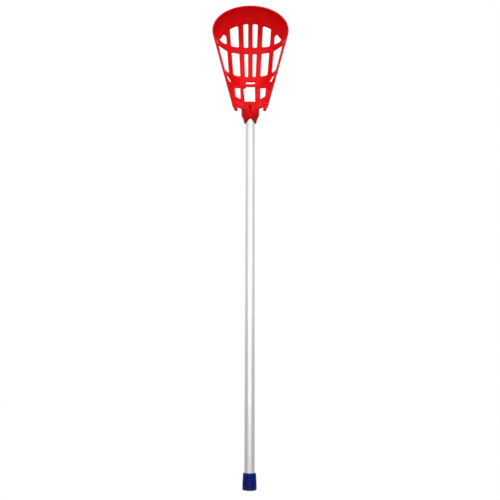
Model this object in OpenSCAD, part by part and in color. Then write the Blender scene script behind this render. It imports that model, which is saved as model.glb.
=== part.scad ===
// Lacrosse stick: a one-piece moulded head with a ribbed basket, pushed onto a
// straight aluminium tube, held by one screw, with a rubber cap on the tube's foot.
// The shaft runs up +Z from the cap's flat base, and the basket opens towards -Y.

/* [Overall] */
// Height of the whole stick, from the cap's base to the top of the lip
stick_length = 1000; // [900:10:1100]

/* [Head outline] */
// Length of the head, from the socket's mouth to the top of the lip
head_length = 271; // [264:1:278]
// Half of the head's greatest width
head_half_w = 83.2; // [80:0.2:87]
// Height of the widest point above the socket's mouth
wide_h = 211; // [209:1:213]
// Squareness of the lip's curve, where 2 is an ellipse
lip_power = 2; // [1.9:0.05:2.3]
// Height of the shoulder where each rail leaves its arc
shoulder_h = 200; // [197:1:202]
// Sideways run of each rail for each millimetre down
rail_taper = 0.26; // [0.25:0.002:0.27]

/* [Basket] */
// How far the rim's plane stands in front of the shaft's axis
rim_y = 20; // [19.5:0.25:21]
// Depth of the basket's inside below the rim
basket_depth = 56; // [52:0.5:60]
// Depth of the inside where the basket meets the socket
throat_depth = 4; // [3.5:0.25:5]
// Thickness of the basket's floor
floor_t = 3.5; // [3:0.1:4]
// Thickness of the side walls at the rim
rail_t = 4.5; // [4:0.1:5]
// Run over which the lip curves down to the full depth
lip_run = 110; // [105:1:115]
// Fullness of the lip's curve
lip_curve = 2.5; // [2.2:0.05:2.8]
// Height where the floor starts to rise towards the throat
funnel_top_h = 114; // [112:1:118]
// Height where the basket ends, at the throat
basket_end_h = 28.5; // [26.5:0.5:30]
// Squareness of the basket's cross-section, where 2 is an ellipse
section_power = 2.5; // [2.3:0.05:2.7]

/* [Ribs and windows] */
// Half width of the centre rib
centre_rib_half = 5.1; // [4.5:0.1:5.6]
// Lower edge of the upper row of windows
upper_row_h = 199.5; // [198:0.5:201]
// Height of the cross rib under the upper row
cross_rib_w = 14; // [12:0.5:15]
// Lower edge of the long row of windows, which is the top of the solid band
band_top_h = 129; // [128:0.5:131]
// Lower edge of the solid band at the centre, over the throat window
band_end_h = 103.5; // [102:0.5:105]
// Height of the slot through the band
slot_h = 114; // [113:0.1:115]
// Clear height of that slot
slot_gap = 4.4; // [3:0.1:5]
// Half width of the throat window and of the slot
throat_half = 10; // [9.5:0.1:10.5]
// Lower edge of the throat window
throat_end_h = 43; // [42.6:0.1:45]
// How far the throat window steps into the left rib
throat_step = 5.5; // [4:0.5:6]
// Corner rounding of the windows
window_r = 3; // [2:0.25:3.5]

/* [Socket] */
// Outside diameter of the socket
socket_d = 38.4; // [37.2:0.2:39.2]
// Outside diameter at the socket's mouth
mouth_d = 26; // [24.6:0.2:26.6]
// Height where the socket reaches its full diameter
socket_full_h = 19.5; // [18.5:0.5:22]
// Height of the socket's closed top
socket_top_h = 41; // [40:0.5:42]
// Depth of the socket's bore
socket_depth = 36; // [34:0.5:37]
// How far the mouth is cut back at the front and the rear
mouth_scallop = 6; // [4:0.5:7]
// Width of the groove down the socket's front
groove_w = 3.6; // [3:0.2:5]
// Depth of that groove
groove_depth = 7.6; // [5:0.2:8]

/* [Shaft] */
// Outside diameter of the tube
tube_d = 19; // [18:0.1:19.2]
// Wall of the tube
tube_wall = 1.2; // [1:0.1:2]
// Gap between the tube and the socket's bore, all round
socket_gap = 0.05; // [0.03:0.01:0.1]

/* [End cap] */
// Height of the cap
cap_h = 30; // [26:1:36]
// Diameter of the cap near its base
cap_base_d = 26.8; // [25.6:0.2:28]
// Diameter of the cap near its top
cap_top_d = 24.4; // [23:0.2:25]
// Thickness of the cap's floor
cap_floor = 3.4; // [3:0.1:4]
// Thickness of the steel washer on that floor
washer_t = 1.2; // [1:0.1:1.5]

/* [Screw] */
// Diameter of the screw's shank
screw_d = 3.6; // [3.2:0.1:4]
// Diameter of the screw's head
screw_head_d = 7.4; // [7:0.1:8]
// Height of the screw above the socket's mouth
screw_h = 29; // [27:0.5:31]

/* [Hidden] */

head_z = stick_length - head_length;
tip_rise = head_length - wide_h;
tube_r = tube_d / 2;
tube_foot_z = cap_floor + washer_t;
tube_top_z = head_z + socket_depth - 1;
bore_r = tube_r + socket_gap;

// Shell grid: rows around the lip, rows down the walls, columns across
lip_rows = 13;
wall_rows = 25;
columns = 28;
last_angle = 87.5;

// The arc of each rail between the widest point and the shoulder
shoulder_drop = wide_h - shoulder_h;
shoulder_angle = atan(rail_taper);
shoulder_arc_r = shoulder_drop / sin(shoulder_angle);

// Rib edges are straight lines that close in towards the throat:
// [half width at the band's top, gain per millimetre up]
narrow_edge = [11.6, 0.042];
inner_edge = [22.4, 0.049];
quad_edge = [37.6, 0.08];
outer_edge = [47.4, 0.078];

// Lower boundary of the solid lip, an elliptical arc
lip_arc_h = 188;
lip_arc_rise = 56.5;
lip_arc_half = 75;

// How far the side windows stay inside the outline
side_margin = 8.6;

// Free ends of the rails, as [half width, height] of their upper and lower round
rail_end_top = [34, basket_end_h + 5];
rail_end_tip = [30.1, 22.3];
rail_end_r = 3.9;
rail_end_t = 4.4;

// Webs between the basket's end and the socket's sides, in the shell's own thickness
throat_web_y = [-16.6, -13.4];

// Webs behind the basket's throat
gusset_x = 15.6;
gusset_t = 4.4;

// Radius of the scallops across the socket's mouth
scallop_r = 11.2;

// Lower and upper end of the groove
groove_low_h = 11;
groove_high_h = 32;

// The cap's ridge at its base, and its rounded shoulder
cap_ridge_h = 4;
cap_shoulder = 1.6;

// The screw's start inside the tube, its recess and its head
screw_start_y = 5;
screw_recess_y = socket_d / 2 - 2.2;
screw_recess_gap = 0.3;
screw_hole_d = screw_d + 0.1;
screw_head_t = 1.4;
screw_dome = 0.7;
screw_cross_w = 1;
screw_cross_l = 4.2;

washer_hole_r = 3.2;

// ---- outline and depth of the basket ----

// Half width of the outline at height h, drawn in by inset all round
function outline_half(h, inset) =
    h >= shoulder_h
    ? head_half_w - inset - shoulder_arc_r
        + sqrt(max(0, pow(shoulder_arc_r, 2) - pow(max(0, wide_h - h), 2)))
    : let (below = shoulder_h - h)
        head_half_w - inset - shoulder_arc_r * (1 - cos(shoulder_angle)) - rail_taper * below;

// Depth of the basket's inside along its middle, at height h
function middle_depth(h) =
    h > head_length - lip_run
    ? basket_depth * (1 - pow(max(0, 1 - (head_length - h) / lip_run), lip_curve))
    : h > funnel_top_h
    ? basket_depth
    : let (s = (h - basket_end_h) / (funnel_top_h - basket_end_h))
        throat_depth + (basket_depth - throat_depth) * (1 - cos(180 * max(0, s))) / 2;

// Signed power, for the cross-section's curve
function spow(v, p) = sign(v) * pow(abs(v), p);

// One row's [half width, height] for the shell's outer (inset 0) or inner face
function row_at(i, inset) =
    i < lip_rows
    ? let (a = last_angle * (1 - i / lip_rows))
        [(head_half_w - inset) * pow(cos(a), 2 / lip_power),
         wide_h + (tip_rise - inset) * pow(sin(a), 2 / lip_power)]
    : let (h = wide_h - (wide_h - basket_end_h) * (i - lip_rows) / wall_rows)
        [outline_half(h, inset), h];

// One point of the shell, at row i and column j
// The first row lies flat in the rim's plane
function shell_point(i, j, inset, extra) =
    let (
        row = row_at(i, inset),
        a = -90 + 180 * j / columns,
        depth = i == 0 ? 0 : middle_depth(row[1]) + extra
    )
    [row[0] * spow(sin(a), 2 / section_power), -rim_y + depth * cos(a), row[1]];

rows = lip_rows + wall_rows;
row_size = columns + 1;
face_size = (rows + 1) * row_size;

function at(side, i, j) = side * face_size + i * row_size + j;

// Two triangles for the four corners a, b, c and d
function two(a, b, c, d) = [[a, c, b], [a, d, c]];

module basket_shell() {
    points = [
        for (side = [0, 1])
            for (i = [0 : rows])
                for (j = [0 : columns])
                    shell_point(i, j, side == 0 ? 0 : rail_t, side == 0 ? floor_t : 0)
    ];
    faces = [
        for (i = [0 : rows - 1])
            for (j = [0 : columns - 1])
                each two(at(0, i, j), at(0, i, j + 1), at(0, i + 1, j + 1), at(0, i + 1, j)),
        for (i = [0 : rows - 1])
            for (j = [0 : columns - 1])
                each two(at(1, i, j), at(1, i + 1, j), at(1, i + 1, j + 1), at(1, i, j + 1)),
        for (i = [0 : rows - 1])
            each two(at(0, i, 0), at(0, i + 1, 0), at(1, i + 1, 0), at(1, i, 0)),
        for (i = [0 : rows - 1])
            each two(at(0, i, columns), at(1, i, columns), at(1, i + 1, columns), at(0, i + 1, columns)),
        for (j = [0 : columns - 1])
            each two(at(0, 0, j), at(1, 0, j), at(1, 0, j + 1), at(0, 0, j + 1)),
        for (j = [0 : columns - 1])
            each two(at(0, rows, j), at(0, rows, j + 1), at(1, rows, j + 1), at(1, rows, j))
    ];
    polyhedron(points, faces, convexity = 8);
}

// ---- windows ----

function unit(v) = v / norm(v);

// The outline with each corner replaced by a short curve
function soft(points, r) = [
    for (i = [0 : len(points) - 1])
        let (
            b = points[i],
            a = points[(i + len(points) - 1) % len(points)],
            c = points[(i + 1) % len(points)],
            ra = min(r, norm(a - b) * 0.45),
            rc = min(r, norm(c - b) * 0.45),
            p = b + unit(a - b) * ra,
            q = b + unit(c - b) * rc
        )
        for (t = [0 : 1 / 3 : 1.01])
            (1 - t) * (1 - t) * p + 2 * t * (1 - t) * b + t * t * q
];

function edge_x(edge, h) = edge[0] + edge[1] * (h - band_top_h);

function lip_h(x) = lip_arc_h + lip_arc_rise * sqrt(1 - pow(x / lip_arc_half, 2));

// Cuts an outline given as [x, h] straight through the basket, front to back
module window(points, r = window_r) {
    rotate([90, 0, 0])
        linear_extrude(height = 100, center = true)
            polygon(soft(points, r));
}

module mirrored() {
    children();
    mirror([1, 0, 0])
        children();
}

module upper_row() {
    h = upper_row_h;
    window([
        [centre_rib_half, h],
        [edge_x(narrow_edge, h), h],
        [edge_x(narrow_edge, 241), lip_h(16)],
        [centre_rib_half, lip_h(5)]
    ]);
    window([
        [edge_x(inner_edge, h), h],
        [edge_x(quad_edge, h), h],
        [edge_x(quad_edge, 231), lip_h(45.5)],
        [37, lip_h(37)],
        [edge_x(inner_edge, 239), lip_h(28)]
    ]);
    window([
        [edge_x(outer_edge, h + 2), h + 2],
        [62.5, h + 2],
        [68.5, 205.5],
        [59.5, 220.5],
        [edge_x(outer_edge, 218), 218]
    ], 2);
}

module long_row() {
    low = band_top_h;
    high = upper_row_h - cross_rib_w;
    window([
        [centre_rib_half, low],
        [edge_x(narrow_edge, low), low],
        [edge_x(narrow_edge, high), high],
        [centre_rib_half, high]
    ]);
    window([
        [edge_x(inner_edge, low), low],
        [edge_x(quad_edge, low), low],
        [edge_x(quad_edge, high), high],
        [edge_x(inner_edge, high), high]
    ]);
    window([
        [edge_x(outer_edge, low), low],
        [outline_half(low, side_margin), low],
        [outline_half(high + 4, side_margin), high + 4],
        [edge_x(outer_edge, high), high]
    ]);
}

module throat_row() {
    // A small window on each side
    mirrored()
        window([[20.9, 50.5], [31.4, 60], [33.8, 94], [22.2, 98.5]], 2);
    // The middle window, wider on one side below a step
    window([
        [throat_half, throat_end_h],
        [throat_half, band_end_h],
        [-throat_half + 1, band_end_h],
        [-throat_half - 0.5, band_end_h - 4.5],
        [-throat_half - throat_step, band_end_h - 7],
        [-throat_half - 2, throat_end_h]
    ], 1);
    window([
        [-throat_half, slot_h - slot_gap / 2],
        [throat_half, slot_h - slot_gap / 2],
        [throat_half, slot_h + slot_gap / 2],
        [-throat_half, slot_h + slot_gap / 2]
    ], 0.8);
    // A slit between the band and each side wall
    mirrored()
        window([[42.4, 109], [45, 104], [51.6, 114.5], [50, 119]], 1);
}

module windows() {
    mirrored() {
        upper_row();
        long_row();
    }
    throat_row();
}

// ---- head ----

// Free end of one rail, below the basket's end
module rail_end() {
    hull()
        for (place = [rail_end_top, rail_end_tip])
            translate([place[0], -rim_y, place[1]])
                rotate([-90, 0, 0])
                    cylinder(h = rail_end_t, r = rail_end_r, $fn = 24);
}

// Web from the basket's end down to the side of the socket
module throat_web() {
    translate([0, throat_web_y[1], 0])
        rotate([90, 0, 0])
            linear_extrude(height = throat_web_y[1] - throat_web_y[0])
                polygon([
                    [7, basket_end_h - 5.5],
                    [16.5, basket_end_h - 5],
                    [25, basket_end_h - 0.5],
                    [25, basket_end_h + 1.5],
                    [7, basket_end_h + 1.5]
                ]);
}

module socket_body() {
    rotate_extrude($fn = 72)
        polygon([
            [0, 0],
            [mouth_d / 2, 0],
            [mouth_d / 2 + 0.9, 4],
            [mouth_d / 2 + 2.2, socket_full_h - 11],
            [socket_d / 2 - 1.6, socket_full_h - 6],
            [socket_d / 2 - 0.4, socket_full_h - 2],
            [socket_d / 2, socket_full_h],
            [socket_d / 2, socket_top_h - 1.5],
            [socket_d / 2 - 1.5, socket_top_h],
            [0, socket_top_h]
        ]);
}

// Web behind each throat rib, from the closed end of the socket up to the basket
module gusset() {
    translate([gusset_x - gusset_t / 2, 0, 0])
        rotate([90, 0, 90])
            linear_extrude(height = gusset_t)
                polygon([
                    [-12, socket_top_h - 10],
                    [-8.5, socket_top_h + 6],
                    [6, socket_top_h + 23],
                    [12, socket_top_h + 31],
                    [14.5, socket_top_h + 31],
                    [12.5, socket_top_h + 14],
                    [10.5, socket_top_h - 10]
                ]);
}

module socket_cuts() {
    translate([0, 0, -1])
        cylinder(h = socket_depth + 1, r = bore_r, $fn = 72);
    // Scalloped mouth, cut from front to rear
    translate([0, 0, mouth_scallop - scallop_r])
        rotate([90, 0, 0])
            cylinder(h = 2 * socket_d, r = scallop_r, center = true, $fn = 72);
    // Groove down the front
    translate([-groove_w / 2, -socket_d / 2 - 1, groove_low_h])
        cube([groove_w, groove_depth + 1, groove_high_h - groove_low_h]);
    // Recess and pilot hole for the screw, at the rear
    translate([0, screw_recess_y, screw_h])
        rotate([-90, 0, 0])
            cylinder(h = 10, d = screw_head_d + 2 * screw_recess_gap, $fn = 48);
    translate([0, 0, screw_h])
        rotate([-90, 0, 0])
            cylinder(h = screw_recess_y + 1, d = screw_hole_d, $fn = 32);
}

module head() {
    color("red")
        translate([0, 0, head_z])
            difference() {
                union() {
                    difference() {
                        basket_shell();
                        windows();
                    }
                    mirrored() {
                        rail_end();
                        throat_web();
                        gusset();
                    }
                    socket_body();
                }
                socket_cuts();
            }
}

// ---- shaft, cap and screw ----

module shaft() {
    color("silver")
        difference() {
            translate([0, 0, tube_foot_z])
                cylinder(h = tube_top_z - tube_foot_z, r = tube_r, $fn = 72);
            translate([0, 0, tube_foot_z - 1])
                cylinder(h = tube_top_z - tube_foot_z + 2, r = tube_r - tube_wall, $fn = 72);
            translate([0, 0, head_z + screw_h])
                rotate([-90, 0, 0])
                    cylinder(h = tube_d, d = screw_hole_d, $fn = 32);
        }
}

module end_cap() {
    base_r = cap_base_d / 2;
    top_r = cap_top_d / 2;
    color("navy")
        rotate_extrude($fn = 72)
            polygon([
                [0, 0],
                [base_r - 2.8, 0],
                [base_r - 1.4, 0.5],
                [base_r - 0.5, 1.5],
                [base_r, 3],
                [base_r, cap_ridge_h],
                [base_r - 0.8, cap_ridge_h + 0.4],
                [base_r - 0.8, cap_ridge_h + 0.8],
                [base_r - 0.1, cap_ridge_h + 1.4],
                [top_r, cap_h - 2 * cap_shoulder],
                [top_r - 0.3, cap_h - cap_shoulder],
                [top_r - 0.9, cap_h - 0.4],
                [top_r - cap_shoulder, cap_h],
                [tube_r, cap_h],
                [tube_r, cap_floor],
                [0, cap_floor]
            ]);
}

module cap_washer() {
    color("gray")
        translate([0, 0, cap_floor])
            difference() {
                cylinder(h = washer_t, r = tube_r - 0.1, $fn = 72);
                translate([0, 0, -1])
                    cylinder(h = washer_t + 2, r = washer_hole_r, $fn = 48);
            }
}

module head_screw() {
    color("silver")
        translate([0, 0, head_z + screw_h])
            rotate([-90, 0, 0])
                difference() {
                    union() {
                        translate([0, 0, screw_start_y])
                            cylinder(h = screw_recess_y - screw_start_y, d = screw_d, $fn = 32);
                        translate([0, 0, screw_start_y - 2])
                            cylinder(h = 2, d1 = 1, d2 = screw_d, $fn = 32);
                        translate([0, 0, screw_recess_y])
                            cylinder(h = screw_head_t, d = screw_head_d, $fn = 48);
                        translate([0, 0, screw_recess_y + screw_head_t])
                            cylinder(h = screw_dome, d1 = screw_head_d, d2 = screw_head_d - 2.4, $fn = 48);
                    }
                    // Cross recess
                    for (turn = [0, 90])
                        rotate([0, 0, turn])
                            translate([-screw_cross_l / 2, -screw_cross_w / 2, screw_recess_y + screw_dome])
                                cube([screw_cross_l, screw_cross_w, screw_head_t + screw_dome]);
                }
}

head();
shaft();
end_cap();
cap_washer();
head_screw();
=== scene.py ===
"""Lacrosse stick: a glossy red moulded head, a satin aluminium tube and a navy rubber cap.

The head is one moulding, so it is one surface here too. Its solid is written as a field of signed
distances in millimetres: the basket's curved wall, less its windows, joined to the socket with
fillets. A mesh is then laid on that field's zero level. The tube and the cap are turned profiles,
and the washer and the screw keep their CAD shape under new materials.
"""

import math

import bpy
import numpy as np
from mathutils import Euler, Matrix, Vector
from mathutils.bvhtree import BVHTree

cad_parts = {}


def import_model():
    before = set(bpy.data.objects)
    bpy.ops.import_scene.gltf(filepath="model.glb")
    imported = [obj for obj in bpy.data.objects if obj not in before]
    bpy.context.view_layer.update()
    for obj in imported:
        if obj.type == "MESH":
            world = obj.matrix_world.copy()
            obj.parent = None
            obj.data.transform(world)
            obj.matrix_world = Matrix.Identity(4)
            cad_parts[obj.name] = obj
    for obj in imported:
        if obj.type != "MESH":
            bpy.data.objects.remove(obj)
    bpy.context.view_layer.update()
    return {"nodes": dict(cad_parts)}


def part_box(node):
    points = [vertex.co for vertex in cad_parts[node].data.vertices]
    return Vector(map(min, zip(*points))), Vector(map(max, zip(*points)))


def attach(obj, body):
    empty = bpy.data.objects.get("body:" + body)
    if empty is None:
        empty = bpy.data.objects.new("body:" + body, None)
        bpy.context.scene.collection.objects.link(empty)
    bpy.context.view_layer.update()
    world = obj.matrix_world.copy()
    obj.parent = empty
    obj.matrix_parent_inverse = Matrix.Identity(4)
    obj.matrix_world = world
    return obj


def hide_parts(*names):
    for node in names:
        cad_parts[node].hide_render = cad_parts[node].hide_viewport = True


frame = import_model()

MM = 0.001

# ---- sizes in millimetres ----

# The head, where heights (h, and names ending in _H) count from the socket's mouth
head_low, head_high = (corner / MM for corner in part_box("head"))
HEAD_Z = head_low.z
HEAD_LENGTH = head_high.z - head_low.z
HALF_W = head_high.x
RIM_Y = -head_low.y

# The rim's outline: widest at WIDE_H, an arc down to SHOULDER_H and a straight rail below it
WIDE_H = 211
SHOULDER_H = 200
LIP_POWER = 2
RAIL_TAPER = 0.26

# The wall's hollow, and its thickness at the floor and at the rim
LIP_RUN = 110
LIP_CURVE = 2.5
FUNNEL_TOP_H = 114
BASKET_END_H = 28.5
SECTION_POWER = 2.5
THROAT_DEPTH = 4
FLOOR_T = 3.5
RAIL_T = 4.5
EDGE_R = 2.1
BASKET_DEPTH = head_high.y + RIM_Y - FLOOR_T

# The windows, as rows between the throat, the band, the cross rib and the solid lip
LIP_EDGE_H, LIP_EDGE_RISE, LIP_EDGE_HALF = 188, 56.5, 75
UPPER_ROW_H = 199.5
CROSS_RIB_W = 14
BAND_TOP_H = 129
BAND_END_H = 103.5
CENTRE_RIB_HALF = 5.1
SIDE_MARGIN = 8.6
SLOT_H, SLOT_GAP = 114, 4.4
THROAT_HALF, THROAT_STEP, THROAT_END_H = 10, 5.5, 43
WINDOW_DRAFT = 0.3

# Rib edges, as (half width at the band's top, gain per millimetre up)
NARROW_EDGE = (11.6, 0.042)
INNER_EDGE = (22.4, 0.049)
QUAD_EDGE = (37.6, 0.08)
OUTER_EDGE = (47.4, 0.078)

# The socket, what joins the basket to it and what is cut into it
SOCKET_R = 19.2
MOUTH_R = 13.0
SOCKET_FULL_H, SOCKET_TOP_H, SOCKET_DEPTH = 19.5, 41, 36
SCALLOP_R, SCALLOP_CUT = 11.2, 6
GROOVE_HALF, GROOVE_DEPTH, GROOVE_LOW, GROOVE_HIGH = 1.8, 7.6, 11, 32
RAIL_END_TOP = (34, BASKET_END_H + 5)
RAIL_END_TIP = (30.1, 22.3)
RAIL_END_R, RAIL_END_T = 3.9, 4.4
THROAT_WEB_Y = (-16.6, -13.4)
GUSSET_X, GUSSET_HALF_T = 15.6, 2.2
BORE_GAP = 0.08
SCREW_H = 29
RECESS_R, RECESS_DEPTH = 4.0, 2.2

tube_low, tube_high = (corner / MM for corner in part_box("shaft"))
TUBE_R = tube_high.x
TUBE_WALL = 1.2

# The cap, where heights count from the ground
cap_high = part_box("end_cap")[1] / MM
CAP_TOP_R = 12.2
CAP_SHOULDER = (2, 2.6)
CAP_RIDGE, CAP_SOLE_R = 4.0, 2.8
CAP_FLOOR = 3.4

# The grid that the head's field is worked out on, and the field's value away from the wall
CELL = 1.2
GRID_MARGIN = 3.6
NEAR_CELLS = 3
EMPTY = 6.0

# ---- light: how strongly the room and the floor light surfaces, and how bright gloss mirrors them ----

ROOM_FRONT, ROOM_BACK, ROOM_SHEEN = 0.32, 0.22, 0.78
FLOOR_LIGHT, FLOOR_SHEEN, FLOOR_SEEN = 0.2, 0.5, 0.985


# ---- fields: every function takes and gives arrays of millimetres ----


def smooth_max(a, b, k):
    """The larger of two fields, with the corner between them rounded over about k."""
    return np.maximum(a, b) + np.maximum(k - np.abs(a - b), 0) ** 2 / (4 * k)


def smooth_min(a, b, k):
    return -smooth_max(-a, -b, k)


def smooth_step(low, high, v):
    t = np.clip((v - low) / (high - low), 0, 1)
    return t * t * (3 - 2 * t)


def polygon_field(u, v, points):
    """Signed distance from (u, v) to a closed outline, less than 0 inside."""
    nearest = np.full(np.broadcast(u, v).shape, 1e9)
    inside = np.ones(nearest.shape)
    for (ax, ay), (bx, by) in zip(points, points[-1:] + points[:-1]):
        ex, ey = bx - ax, by - ay
        wx, wy = u - ax, v - ay
        t = np.clip((wx * ex + wy * ey) / (ex * ex + ey * ey), 0, 1)
        nearest = np.minimum(nearest, (wx - ex * t) ** 2 + (wy - ey * t) ** 2)
        above, below, left = v >= ay, v < by, ex * wy > ey * wx
        inside = np.where((above & below & left) | (~above & ~below & ~left), -inside, inside)
    return inside * np.sqrt(nearest)


def drawn_in(points, r):
    """A convex outline with each edge moved in by r."""
    turn = sum(a[0] * b[1] - a[1] * b[0] for a, b in zip(points, points[1:] + points[:1]))
    sign = 1 if turn > 0 else -1
    edges = []
    for a, b in zip(points, points[1:] + points[:1]):
        d = Vector((b[0] - a[0], b[1] - a[1])).normalized()
        n = Vector((-d.y, d.x)) * sign * r
        edges.append((Vector(a) + n, d))
    corners = []
    for (p, d), (q, e) in zip(edges[-1:] + edges[:-1], edges):
        cross = d.x * e.y - d.y * e.x
        t = ((q - p).x * e.y - (q - p).y * e.x) / cross
        corners.append(tuple(p + d * t))
    return corners


def window_field(u, v, points, r):
    """Signed distance to a convex outline with corners of radius r."""
    return polygon_field(u, v, drawn_in(points, r)) - r


def box_field(parts):
    """Signed distance to a box, from the distance past each pair of faces."""
    out = parts[0]
    for p in parts[1:]:
        out = np.maximum(out, p)
    return out


# ---- the basket's shape ----


def outline_half(h, inset=0.0):
    """Half width of the rim's outline below the widest point."""
    angle = math.atan(RAIL_TAPER)
    arc_r = (WIDE_H - SHOULDER_H) / math.sin(angle)
    h = np.asarray(h, float)
    arc = HALF_W - inset - arc_r + np.sqrt(np.maximum(0, arc_r**2 - np.maximum(0, WIDE_H - h) ** 2))
    below = SHOULDER_H - h
    rail = HALF_W - inset - arc_r * (1 - math.cos(angle)) - RAIL_TAPER * below
    return np.where(h >= SHOULDER_H, arc, rail)


def middle_depth(h):
    """Depth of the basket's inside along its middle."""
    lip = BASKET_DEPTH * (1 - np.maximum(0, 1 - (HEAD_LENGTH - h) / LIP_RUN) ** LIP_CURVE)
    s = np.clip((h - BASKET_END_H) / (FUNNEL_TOP_H - BASKET_END_H), 0, 1)
    funnel = THROAT_DEPTH + (BASKET_DEPTH - THROAT_DEPTH) * (1 - np.cos(np.pi * s)) / 2
    return np.where(h > HEAD_LENGTH - LIP_RUN, lip, funnel)


def lip_h(x):
    """Lower edge of the solid lip, an elliptical arc."""
    return LIP_EDGE_H + LIP_EDGE_RISE * math.sqrt(1 - (x / LIP_EDGE_HALF) ** 2)


def edge_x(edge, h):
    """Half width at height h of one of the rib edges."""
    return edge[0] + edge[1] * (h - BAND_TOP_H)


def wall_sheet(across=150, round_lip=90, down=150):
    """The middle surface of the basket's wall, as points and quads."""
    lip = np.radians(np.linspace(89.9, 0, round_lip, endpoint=False))
    inset = RAIL_T / 2
    half = np.concatenate([
        (HALF_W - inset) * np.cos(lip) ** (2 / LIP_POWER),
        outline_half(np.linspace(WIDE_H, BASKET_END_H + 1.5, down), inset),
    ])
    h = np.concatenate([
        WIDE_H + (HEAD_LENGTH - WIDE_H - inset) * np.sin(lip) ** (2 / LIP_POWER),
        np.linspace(WIDE_H, BASKET_END_H + 1.5, down),
    ])
    a = np.radians(np.linspace(-90, 90, across + 1))[None, :]
    depth = np.maximum(0, middle_depth(h) + FLOOR_T / 2 - EDGE_R)
    x = half[:, None] * np.sign(a) * np.abs(np.sin(a)) ** (2 / SECTION_POWER)
    y = -RIM_Y + EDGE_R + depth[:, None] * np.cos(a)
    z = np.broadcast_to(h[:, None], x.shape)
    points = np.stack([x, y, z], -1)
    rows, columns = x.shape
    i = np.arange(rows - 1)[:, None] * columns + np.arange(columns - 1)[None, :]
    quads = np.stack([i, i + 1, i + 1 + columns, i + columns], -1).reshape(-1, 4)
    return points.reshape(-1, 3), quads


def windows_field(x, h):
    """Signed distance to the nearest window, seen along Y, on a grid of x and h."""
    ax = np.abs(x)
    high, low = UPPER_ROW_H - CROSS_RIB_W, BAND_TOP_H
    upper = UPPER_ROW_H
    quad = [
        (edge_x(INNER_EDGE, upper), upper),
        (edge_x(QUAD_EDGE, upper), upper),
        (edge_x(QUAD_EDGE, 231), lip_h(45.5)),
        (37, lip_h(37)),
        (edge_x(INNER_EDGE, 239), lip_h(28)),
    ]
    narrow = [
        (CENTRE_RIB_HALF, upper),
        (edge_x(NARROW_EDGE, upper), upper),
        (edge_x(NARROW_EDGE, 241), lip_h(16)),
        (CENTRE_RIB_HALF, lip_h(5)),
    ]
    triangle = [
        (edge_x(OUTER_EDGE, upper + 2), upper + 2),
        (62.5, upper + 2),
        (68.5, 205.5),
        (59.5, 220.5),
        (edge_x(OUTER_EDGE, 218), 218),
    ]
    long_narrow = [
        (CENTRE_RIB_HALF, low),
        (edge_x(NARROW_EDGE, low), low),
        (edge_x(NARROW_EDGE, high), high),
        (CENTRE_RIB_HALF, high),
    ]
    long_quad = [
        (edge_x(INNER_EDGE, low), low),
        (edge_x(QUAD_EDGE, low), low),
        (edge_x(QUAD_EDGE, high), high),
        (edge_x(INNER_EDGE, high), high),
    ]
    side = [
        (edge_x(OUTER_EDGE, low), low),
        (float(outline_half(low, SIDE_MARGIN)), low),
        (float(outline_half(high + 4, SIDE_MARGIN)), high + 4),
        (edge_x(OUTER_EDGE, high), high),
    ]
    throat_side = [(20.9, 50.5), (31.4, 60), (33.8, 94), (22.2, 98.5)]
    sliver = [(42.4, 109), (45, 104), (51.6, 114.5), (50, 119)]
    slot = [
        (-THROAT_HALF, SLOT_H - SLOT_GAP / 2),
        (THROAT_HALF, SLOT_H - SLOT_GAP / 2),
        (THROAT_HALF, SLOT_H + SLOT_GAP / 2),
        (-THROAT_HALF, SLOT_H + SLOT_GAP / 2),
    ]
    throat = [
        (THROAT_HALF, THROAT_END_H),
        (THROAT_HALF, BAND_END_H),
        (-THROAT_HALF + 1, BAND_END_H),
        (-THROAT_HALF + 1, THROAT_END_H),
    ]
    step = [
        (-THROAT_HALF - 2, THROAT_END_H),
        (0, THROAT_END_H),
        (0, BAND_END_H),
        (-THROAT_HALF + 1, BAND_END_H),
        (-THROAT_HALF - 0.5, BAND_END_H - 4.5),
        (-THROAT_HALF - THROAT_STEP, BAND_END_H - 7),
    ]
    nearest = np.full(ax.shape, 1e9)
    for points, r in (
        (narrow, 2.6),
        (quad, 2.6),
        (triangle, 1.6),
        (long_narrow, 2.2),
        (long_quad, 2.6),
        (side, 2.2),
        (throat_side, 1.6),
        (sliver, 0.6),
    ):
        nearest = np.minimum(nearest, window_field(ax, h, points, r))
    for points, r in ((slot, 0.9), (throat, 1.0), (step, 0.6)):
        nearest = np.minimum(nearest, window_field(x, h, points, r))
    return nearest


def wall_field(x, y, z):
    """Signed distance to the basket's wall near its middle surface, and EMPTY elsewhere."""
    points, quads = wall_sheet()
    tree = BVHTree.FromPolygons(points.tolist(), quads.tolist())
    near = np.zeros(np.broadcast(x, y, z).shape, bool)
    low = np.array([x.min(), y.min(), z.min()])
    at = np.rint((points - low) / CELL).astype(int)
    near[at[:, 0], at[:, 1], at[:, 2]] = True
    for axis in range(3):
        grown = near.copy()
        for step in range(1, NEAR_CELLS + 1):
            ahead = [slice(None)] * 3
            behind = [slice(None)] * 3
            ahead[axis], behind[axis] = slice(step, None), slice(None, -step)
            grown[tuple(ahead)] |= near[tuple(behind)]
            grown[tuple(behind)] |= near[tuple(ahead)]
        near = grown
    out = np.full(near.shape, EMPTY)
    where = np.argwhere(near)
    places = where * CELL + low
    find = tree.find_nearest
    distance = np.array([find(p)[3] for p in places.tolist()])
    rim = smooth_step(10, 2, places[:, 1] + RIM_Y)
    out[tuple(where.T)] = distance - (FLOOR_T / 2 + (EDGE_R - FLOOR_T / 2) * rim)
    return out


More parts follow.
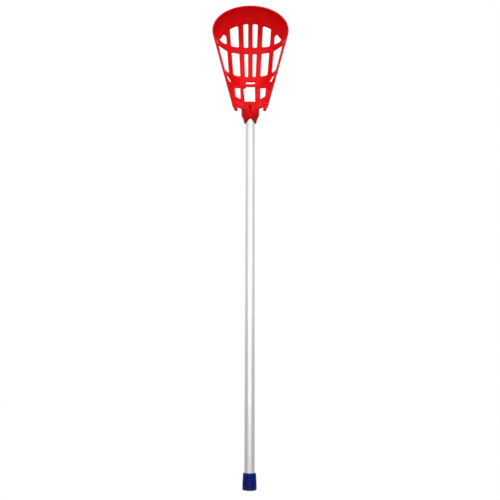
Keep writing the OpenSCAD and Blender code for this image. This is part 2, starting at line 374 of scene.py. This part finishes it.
def rail_end_field(x, y, z):
    """The free end of each rail, a flat tongue with a round tip."""
    (tx, tz), (bx, bz) = RAIL_END_TOP, RAIL_END_TIP
    px, pz = np.abs(x) - tx, z - tz
    rx, rz = bx - tx, bz - tz
    t = np.clip((px * rx + pz * rz) / (rx * rx + rz * rz), 0, 1)
    tongue = np.sqrt((px - t * rx) ** 2 + (pz - t * rz) ** 2) - RAIL_END_R
    slab = np.abs(y + RIM_Y - RAIL_END_T / 2) - RAIL_END_T / 2
    return smooth_max(tongue + 0 * y, slab + 0 * tongue, 2.4)


def throat_web_field(x, y, z):
    """The web from the basket's end down to the side of the socket."""
    end = BASKET_END_H
    web = [(7, end - 5.5), (16.5, end - 5), (25, end - 0.5), (25, end + 1.5), (7, end + 1.5)]
    middle = sum(THROAT_WEB_Y) / 2
    slab = np.abs(y - middle) - (THROAT_WEB_Y[1] - THROAT_WEB_Y[0]) / 2
    return smooth_max(polygon_field(np.abs(x), z, web) + 0 * y, slab + 0 * z, 1.5)


def gusset_field(x, y, z):
    """The web behind each throat rib."""
    top = SOCKET_TOP_H
    web = [
        (-12, top - 10), (-8.5, top + 6), (6, top + 23), (12, top + 31),
        (14.5, top + 31), (12.5, top + 14), (10.5, top - 10),
    ]
    slab = np.abs(np.abs(x) - GUSSET_X) - GUSSET_HALF_T
    return smooth_max(polygon_field(y, z, web), slab, 1.2)


def socket_field(x, y, z):
    """The socket before its bore is cut. Its profile runs past the axis, to leave no edge there."""
    past_axis = -30
    profile = [
        (past_axis, 0),
        (MOUTH_R, 0),
        (MOUTH_R + 0.9, 4),
        (MOUTH_R + 2.2, SOCKET_FULL_H - 11),
        (SOCKET_R - 1.6, SOCKET_FULL_H - 6),
        (SOCKET_R - 0.4, SOCKET_FULL_H - 2),
        (SOCKET_R, SOCKET_FULL_H),
        (SOCKET_R, SOCKET_TOP_H - 1.5),
        (SOCKET_R - 1.5, SOCKET_TOP_H),
        (past_axis, SOCKET_TOP_H),
    ]
    return polygon_field(np.sqrt(x * x + y * y), z, profile)


def head_field(x, y, z):
    """Signed distance to the whole head."""
    windows = windows_field(x[:, 0, :], z[:, 0, :])[:, None, :] + WINDOW_DRAFT
    field = smooth_max(wall_field(x, y, z), -windows + 0 * y, 2.4)
    for added, fillet in (
        (rail_end_field(x, y, z), 2.0),
        (throat_web_field(x, y, z), 3.0),
        (gusset_field(x, y, z), 3.0),
        (socket_field(x, y, z), 4.0),
    ):
        field = smooth_min(field, added, fillet)
    r = np.sqrt(x * x + y * y)
    past_mouth = 4
    bore_half = (SOCKET_DEPTH + past_mouth) / 2
    bore = box_field([
        r - (TUBE_R + BORE_GAP),
        np.abs(z - SOCKET_DEPTH + bore_half) - bore_half + 0 * x,
    ])
    scallop = np.sqrt(x * x + (z + SCALLOP_R - SCALLOP_CUT) ** 2) - SCALLOP_R + 0 * y
    groove = box_field([
        np.abs(x) - GROOVE_HALF + 0 * y,
        y + SOCKET_R - GROOVE_DEPTH + 0 * x,
        np.abs(z - (GROOVE_LOW + GROOVE_HIGH) / 2) - (GROOVE_HIGH - GROOVE_LOW) / 2 + 0 * x,
    ])
    recess = box_field([
        np.sqrt(x * x + (z - SCREW_H) ** 2) - RECESS_R + 0 * y,
        SOCKET_R - RECESS_DEPTH - y + 0 * x,
    ])
    for cut, rounding in ((bore, 0.5), (scallop, 1.8), (groove, 0.8), (recess, 0.8)):
        field = smooth_max(field, -cut, rounding)
    return field


# ---- a mesh on a field's zero level ----


def sample(grid, places):
    """The grid's value between its points, places in cells."""
    base = np.clip(np.floor(places).astype(int), 0, np.array(grid.shape) - 2)
    f = places - base
    i, j, k = base.T
    out = 0
    for dx in (0, 1):
        for dy in (0, 1):
            for dz in (0, 1):
                weight = 1
                for axis, d in enumerate((dx, dy, dz)):
                    weight = weight * (f[:, axis] if d else 1 - f[:, axis])
                out = out + weight * grid[i + dx, j + dy, k + dz]
    return out


def surface_net(grid):
    """One vertex in each cell that the zero level crosses, joined by quads across the crossed edges."""
    inside = grid < 0
    n = np.array(grid.shape) - 1
    total = np.zeros((*n, 3))
    count = np.zeros(n)
    corners = [(a, b, c) for a in (0, 1) for b in (0, 1) for c in (0, 1)]

    def part(array, corner):
        return array[tuple(slice(c, c + m) for c, m in zip(corner, n))]

    for corner in corners:
        for axis in range(3):
            if corner[axis]:
                continue
            other = tuple(c + (a == axis) for a, c in enumerate(corner))
            f0, f1 = part(grid, corner), part(grid, other)
            crossed = part(inside, corner) != part(inside, other)
            t = np.where(crossed, f0 / np.where(crossed, f0 - f1, 1), 0)
            for a in range(3):
                total[..., a] += np.where(crossed, corner[a] + (t if a == axis else 0), 0)
            count += crossed
    active = count > 0
    number = np.full(n, -1)
    number[active] = np.arange(active.sum())
    points = np.argwhere(active) + total[active] / count[active][:, None]
    quads = []
    for axis in range(3):
        ahead = [slice(None)] * 3
        ahead[axis] = slice(1, None)
        behind = [slice(None)] * 3
        behind[axis] = slice(None, -1)
        a, b = inside[tuple(behind)], inside[tuple(ahead)]
        at = np.argwhere(a != b)
        u, v = (axis + 1) % 3, (axis + 2) % 3
        at = at[(at[:, u] > 0) & (at[:, v] > 0) & (at[:, u] < n[u]) & (at[:, v] < n[v])]
        ring = []
        for du, dv in ((1, 1), (0, 1), (0, 0), (1, 0)):
            cell = at.copy()
            cell[:, u] -= du
            cell[:, v] -= dv
            ring.append(number[tuple(cell.T)])
        ring = np.stack(ring, 1)
        outward = a[tuple(at.T)]
        quads.append(np.where(outward[:, None], ring, ring[:, ::-1]))
    return points, np.concatenate(quads)


def onto_level(grid, points, rounds=3):
    """Moves points along the field's slope onto its zero level."""
    slopes = np.gradient(grid)
    for _ in range(rounds):
        value = sample(grid, points)
        slope = np.stack([sample(s, points) for s in slopes], 1)
        move = -(value / np.maximum((slope**2).sum(1), 0.05))[:, None] * slope
        points = points + np.clip(move, -0.5, 0.5)
    return points


# ---- objects ----


def make_object(name, points, faces, material, body="root"):
    """A smooth-shaded piece that rides on the given body."""
    mesh = bpy.data.meshes.new(name)
    mesh.from_pydata([tuple(p) for p in points], [], [tuple(f) for f in faces])
    mesh.polygons.foreach_set("use_smooth", [True] * len(mesh.polygons))
    mesh.materials.append(material)
    mesh.update()
    piece = bpy.data.objects.new(name, mesh)
    bpy.context.scene.collection.objects.link(piece)
    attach(piece, body)
    return piece


def turned(name, profile, material, segments=96, closed=True):
    """A profile of (radius, height) in millimetres, turned about the shaft's axis."""
    around = np.linspace(0, 2 * math.pi, segments, endpoint=False)
    points, rings = [], []
    for r, z in profile:
        if r < 1e-6:
            rings.append([len(points)])
            points.append((0, 0, z * MM))
            continue
        rings.append(list(range(len(points), len(points) + segments)))
        points += [(r * math.cos(a) * MM, r * math.sin(a) * MM, z * MM) for a in around]
    faces = []
    pairs = list(zip(rings, rings[1:]))
    if closed:
        pairs.append((rings[-1], rings[0]))
    for low, high in pairs:
        for s in range(segments):
            t = (s + 1) % segments
            if len(low) == 1 and len(high) == 1:
                continue
            if len(low) == 1:
                faces.append((low[0], high[t], high[s]))
            elif len(high) == 1:
                faces.append((low[s], low[t], high[0]))
            else:
                faces.append((low[s], low[t], high[t], high[s]))
    return make_object(name, points, faces, material)


# ---- materials ----


class Nodes:
    """A material's node tree, with short ways to add and join nodes."""

    def __init__(self, name):
        self.material = bpy.data.materials.new(name)
        self.material.use_nodes = True
        self.tree = self.material.node_tree
        self.shader = self.tree.nodes["Principled BSDF"]
        self.place = self.add("ShaderNodeTexCoord").outputs["Object"]

    def add(self, kind, **settings):
        node = self.tree.nodes.new(kind)
        for key, value in settings.items():
            setattr(node, key, value)
        return node

    def join(self, output, socket):
        self.tree.links.new(output, socket)

    def scaled(self, scale):
        node = self.add("ShaderNodeMapping")
        node.inputs["Scale"].default_value = scale
        self.join(self.place, node.inputs["Vector"])
        return node.outputs["Vector"]

    def noise(self, scale, detail=3.0, roughness=0.5, stretch=(1, 1, 1)):
        node = self.add("ShaderNodeTexNoise")
        node.inputs["Scale"].default_value = scale
        node.inputs["Detail"].default_value = detail
        node.inputs["Roughness"].default_value = roughness
        self.join(self.scaled(stretch), node.inputs["Vector"])
        return node.outputs["Fac"]

    def ramp(self, value, stops):
        node = self.add("ShaderNodeValToRGB")
        elements = node.color_ramp.elements
        while len(elements) < len(stops):
            elements.new(0.5)
        for element, (place, colour) in zip(elements, stops):
            element.position = place
            element.color = (*colour, 1)
        self.join(value, node.inputs["Fac"])
        return node.outputs["Color"]

    def span(self, value, low, high, from_low=0.0, from_high=1.0):
        node = self.add("ShaderNodeMapRange")
        node.inputs["From Min"].default_value = from_low
        node.inputs["From Max"].default_value = from_high
        node.inputs["To Min"].default_value = low
        node.inputs["To Max"].default_value = high
        self.join(value, node.inputs["Value"])
        return node.outputs["Result"]

    def bump(self, height, distance, strength=1.0, under=None):
        node = self.add("ShaderNodeBump")
        node.inputs["Distance"].default_value = distance
        node.inputs["Strength"].default_value = strength
        self.join(height, node.inputs["Height"])
        if under is not None:
            self.join(under, node.inputs["Normal"])
        return node.outputs["Normal"]

    def set(self, **values):
        for key, value in values.items():
            self.shader.inputs[key.replace("_", " ")].default_value = value


def head_plastic():
    """Glossy moulded polyethylene: faint flow marks, a waxy skin and fine scuffs."""
    n = Nodes("head_plastic")
    flow = n.noise(26, 3, 0.5, (1, 1, 0.25))
    red = n.ramp(flow, [(0.3, (0.82, 0.003, 0.005)), (0.7, (0.95, 0.005, 0.008))])
    n.join(red, n.shader.inputs["Base Color"])
    scuffs = n.noise(900, 2, 0.6, (1, 1, 0.3))
    n.join(n.span(scuffs, 0.22, 0.34, 0.35, 0.7), n.shader.inputs["Roughness"])
    skin = n.noise(420, 4, 0.55)
    waves = n.noise(38, 2, 0.5)
    n.join(n.bump(skin, 0.00006, 0.5, n.bump(waves, 0.0008, 0.35)), n.shader.inputs["Normal"])
    n.set(IOR=1.5, Specular_IOR_Level=0.07)
    return n.material


def shaft_aluminium():
    """Drawn and anodised tube: fine lines along it, and small handling marks."""
    n = Nodes("shaft_aluminium")
    lines = n.noise(700, 3, 0.6, (1, 1, 0.01))
    cloud = n.noise(14, 3, 0.5, (1, 1, 0.4))
    silver = n.ramp(cloud, [(0.3, (0.70, 0.685, 0.69)), (0.7, (0.78, 0.765, 0.77))])
    n.join(silver, n.shader.inputs["Base Color"])
    n.join(n.span(lines, 0.30, 0.42, 0.3, 0.7), n.shader.inputs["Roughness"])
    marks = n.noise(160, 5, 0.65, (1, 1, 0.12))
    n.join(n.bump(lines, 0.00003, 0.6, n.bump(marks, 0.00006, 0.3)), n.shader.inputs["Normal"])
    n.set(Metallic=1.0)
    return n.material


def cap_rubber():
    """Moulded navy rubber with a fine grain; its colour is mixed towards a dull grey-blue round its
    foot.
    """
    n = Nodes("cap_rubber")
    cloud = n.noise(60, 4, 0.55)
    navy = n.ramp(cloud, [(0.3, (0.001, 0.007, 0.13)), (0.75, (0.004, 0.020, 0.24))])
    height = n.add("ShaderNodeSeparateXYZ")
    n.join(n.place, height.inputs["Vector"])
    # Below a ragged line a few millimetres up, the navy is mixed towards a duller, greyer blue
    ragged = n.add("ShaderNodeMath", operation="MULTIPLY_ADD")
    n.join(n.noise(220, 4, 0.6), ragged.inputs[0])
    ragged.inputs[1].default_value = 0.003
    n.join(height.outputs["Z"], ragged.inputs[2])
    foot_grey = n.add("ShaderNodeMix", data_type="RGBA")
    foot_grey.inputs["B"].default_value = (0.030, 0.033, 0.065, 1)
    n.join(n.span(ragged.outputs["Value"], 0.75, 0.0, 0.0045, 0.0070), foot_grey.inputs["Factor"])
    n.join(navy, foot_grey.inputs["A"])
    n.join(foot_grey.outputs["Result"], n.shader.inputs["Base Color"])
    grain = n.noise(1500, 3, 0.6)
    n.join(n.span(cloud, 0.24, 0.4, 0.3, 0.7), n.shader.inputs["Roughness"])
    n.join(n.bump(grain, 0.00008, 0.5), n.shader.inputs["Normal"])
    n.set(IOR=1.5, Specular_IOR_Level=0.1)
    return n.material


def plated_steel(name, tint):
    """Zinc-plated steel with a mottled bloom."""
    n = Nodes(name)
    mottle = n.noise(400, 4, 0.6)
    dark = tuple(c * 0.8 for c in tint)
    n.join(n.ramp(mottle, [(0.3, dark), (0.7, tint)]), n.shader.inputs["Base Color"])
    n.join(n.span(mottle, 0.25, 0.45, 0.3, 0.7), n.shader.inputs["Roughness"])
    n.join(n.bump(mottle, 0.00002, 0.4), n.shader.inputs["Normal"])
    n.set(Metallic=1.0)
    return n.material


def stage_white():
    """A matt floor that the camera sees as white, so that it meets the surroundings with no line."""
    n = Nodes("stage_white")
    tone = n.noise(2, 2, 0.5)
    grey = n.ramp(tone, [(0.3, (0.045, 0.045, 0.045)), (0.7, (0.05, 0.05, 0.05))])
    n.join(grey, n.shader.inputs["Base Color"])
    path = n.add("ShaderNodeLightPath")
    glow = n.add("ShaderNodeMix")
    glow.inputs["B"].default_value = FLOOR_SEEN
    n.join(path.outputs["Is Camera Ray"], glow.inputs["Factor"])
    n.join(n.span(path.outputs["Is Glossy Ray"], FLOOR_LIGHT, FLOOR_SHEEN), glow.inputs["A"])
    n.join(glow.outputs["Result"], n.shader.inputs["Emission Strength"])
    n.set(Roughness=1.0, Specular_IOR_Level=0.0, Emission_Color=(1, 1, 1, 1))
    return n.material


# ---- pieces ----


def head_piece():
    """The moulding, meshed from its field and kept inside the CAD head's box."""
    low = np.array([-HALF_W, -RIM_Y, 0]) - GRID_MARGIN
    high = np.array([HALF_W, BASKET_DEPTH + FLOOR_T - RIM_Y, HEAD_LENGTH]) + GRID_MARGIN
    steps = np.ceil((high - low) / CELL).astype(int) + 1
    axes = [low[a] + np.arange(steps[a]) * CELL for a in range(3)]
    x, y, z = np.meshgrid(*axes, indexing="ij", sparse=True)
    x = x + 0 * z
    z = z + 0 * x
    grid = head_field(x, y, z) / CELL
    points, quads = surface_net(grid)
    points = onto_level(grid, points) * CELL + low
    points[:, 2] += HEAD_Z
    points = np.clip(points, np.array(head_low), np.array(head_high))
    piece = make_object("head_moulding", points * MM, quads, head_plastic())
    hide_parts("head")
    return piece


def shaft_piece():
    """The tube, with chamfered ends. A ring near each end keeps the long side's shading straight."""
    low, high = tube_low.z, tube_high.z
    r, inner = TUBE_R, TUBE_R - TUBE_WALL
    chamfer, ring = 0.3, 1.5
    outside = [
        (r - chamfer, low),
        (r, low + chamfer),
        (r, low + ring),
        (r, high - ring),
        (r, high - chamfer),
        (r - chamfer, high),
    ]
    inside = [(inner, high), (inner, high - ring), (inner, low + ring), (inner, low)]
    piece = turned("tube", outside + inside, shaft_aluminium(), 128)
    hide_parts("shaft")
    return piece


def cap_piece():
    """The cap: a rounded sole, a groove above it, sides that draw in and a soft shoulder."""
    base, top, height = cap_high.x, CAP_TOP_R, cap_high.z
    ridge, sole = CAP_RIDGE, CAP_SOLE_R
    across, down = CAP_SHOULDER
    profile = [(0, 0), (6, 0), (base - sole - 0.4, 0.02)]
    for a in np.radians(np.linspace(-80, 0, 9)):
        profile.append((base - sole + sole * math.cos(a), sole + sole * math.sin(a)))
    profile += [
        (base, ridge - 0.35),
        (base - 0.1, ridge - 0.1),
        (base - 0.5, ridge + 0.08),
        (base - 0.86, ridge + 0.4),
        (base - 0.86, ridge + 0.8),
        (base - 0.5, ridge + 1.1),
        (base - 0.2, ridge + 1.4),
        (base - 0.12, ridge + 1.8),
    ]
    start, shoulder = ridge + 1.8, height - down
    for t in np.linspace(0.1, 1, 10):
        profile.append((base - 0.12 + (top - base + 0.12) * t, start + (shoulder - start) * t))
    for a in np.radians(np.linspace(10, 80, 8)):
        profile.append((top - across + across * math.cos(a), shoulder + down * math.sin(a)))
    profile += [(TUBE_R + 0.1, height), (TUBE_R, height - 0.2), (TUBE_R, CAP_FLOOR), (0, CAP_FLOOR)]
    piece = turned("rubber_cap", profile, cap_rubber(), 96, closed=False)
    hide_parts("end_cap")
    return piece


def dress(node, material):
    """Gives a CAD node, whose shape is right, its finished material."""
    slots = frame["nodes"][node].data.materials
    slots.clear()
    slots.append(material)


# ---- stage, light and camera ----


def floor():
    """A wide disc, a hair below the cap."""
    below = -0.0005
    bpy.ops.mesh.primitive_circle_add(vertices=96, radius=14, fill_type="NGON", location=(0, 0, below))
    disc = bpy.context.object
    disc.name = "floor"
    disc.data.materials.append(stage_white())


def area_light(name, place, target, size, power):
    data = bpy.data.lights.new(name, "AREA")
    data.shape = "RECTANGLE"
    data.size, data.size_y = size
    data.energy = power
    lamp = bpy.data.objects.new(name, data)
    lamp.location = place
    lamp.rotation_euler = (Vector(target) - Vector(place)).to_track_quat("-Z", "Y").to_euler()
    bpy.context.scene.collection.objects.link(lamp)


def world():
    """White to the camera, bright to gloss, and otherwise a dim room that shades from front to back."""
    w = bpy.data.worlds.new("studio")
    w.use_nodes = True
    tree = w.node_tree
    back = tree.nodes["Background"]
    back.inputs["Color"].default_value = (1, 1, 1, 1)
    way = tree.nodes.new("ShaderNodeTexCoord")
    split = tree.nodes.new("ShaderNodeSeparateXYZ")
    room = tree.nodes.new("ShaderNodeMapRange")
    room.inputs["From Min"].default_value = -0.6
    room.inputs["From Max"].default_value = 0.6
    room.inputs["To Min"].default_value = ROOM_FRONT
    room.inputs["To Max"].default_value = ROOM_BACK
    path = tree.nodes.new("ShaderNodeLightPath")
    sheen = tree.nodes.new("ShaderNodeMix")
    sheen.inputs["B"].default_value = ROOM_SHEEN
    seen = tree.nodes.new("ShaderNodeMix")
    seen.inputs["B"].default_value = 1.0
    links = tree.links
    links.new(way.outputs["Generated"], split.inputs["Vector"])
    links.new(split.outputs["Y"], room.inputs["Value"])
    links.new(path.outputs["Is Glossy Ray"], sheen.inputs["Factor"])
    links.new(room.outputs["Result"], sheen.inputs["A"])
    links.new(path.outputs["Is Camera Ray"], seen.inputs["Factor"])
    links.new(sheen.outputs["Result"], seen.inputs["A"])
    links.new(seen.outputs["Result"], back.inputs["Strength"])
    bpy.context.scene.world = w


def camera():
    """Low in front, tilted up and rolled a hair, as the stick is seen."""
    data = bpy.data.cameras.new("camera")
    data.lens = 43.2
    data.sensor_width = 36
    eye = bpy.data.objects.new("camera", data)
    eye.location = (0, -1.1706, 0.1671)
    level = math.radians(90)
    tilt = math.radians(13.69)
    roll = math.radians(0.13)
    aim = Euler((level + tilt, 0, 0)).to_matrix() @ Euler((0, 0, roll)).to_matrix()
    eye.rotation_euler = aim.to_euler()
    bpy.context.scene.collection.objects.link(eye)
    bpy.context.scene.camera = eye


# ---- build ----

camera()
head_piece()
shaft_piece()
cap_piece()
dress("cap_washer", plated_steel("washer_steel", (0.55, 0.55, 0.56)))
dress("head_screw", plated_steel("screw_steel", (0.66, 0.66, 0.67)))
floor()
world()
area_light("front_light", (0.05, -2.1, 1.2), (0, 0, 0.75), (2.9, 2.5), 32)
area_light("top_light", (0.1, -1.3, 2.5), (0, 0, 0.85), (1.6, 0.9), 9)
area_light("left_light", (-2.2, -1.0, 1.3), (0, 0, 0.8), (1.0, 1.6), 1.5)
area_light("right_light", (2.2, -1.0, 1.3), (0, 0, 0.8), (1.0, 1.6), 2)
area_light("back_light", (0, 2.4, 1.5), (0, 0, 0.7), (2.4, 2.0), 15)
bpy.context.scene.view_settings.view_transform = "Standard"
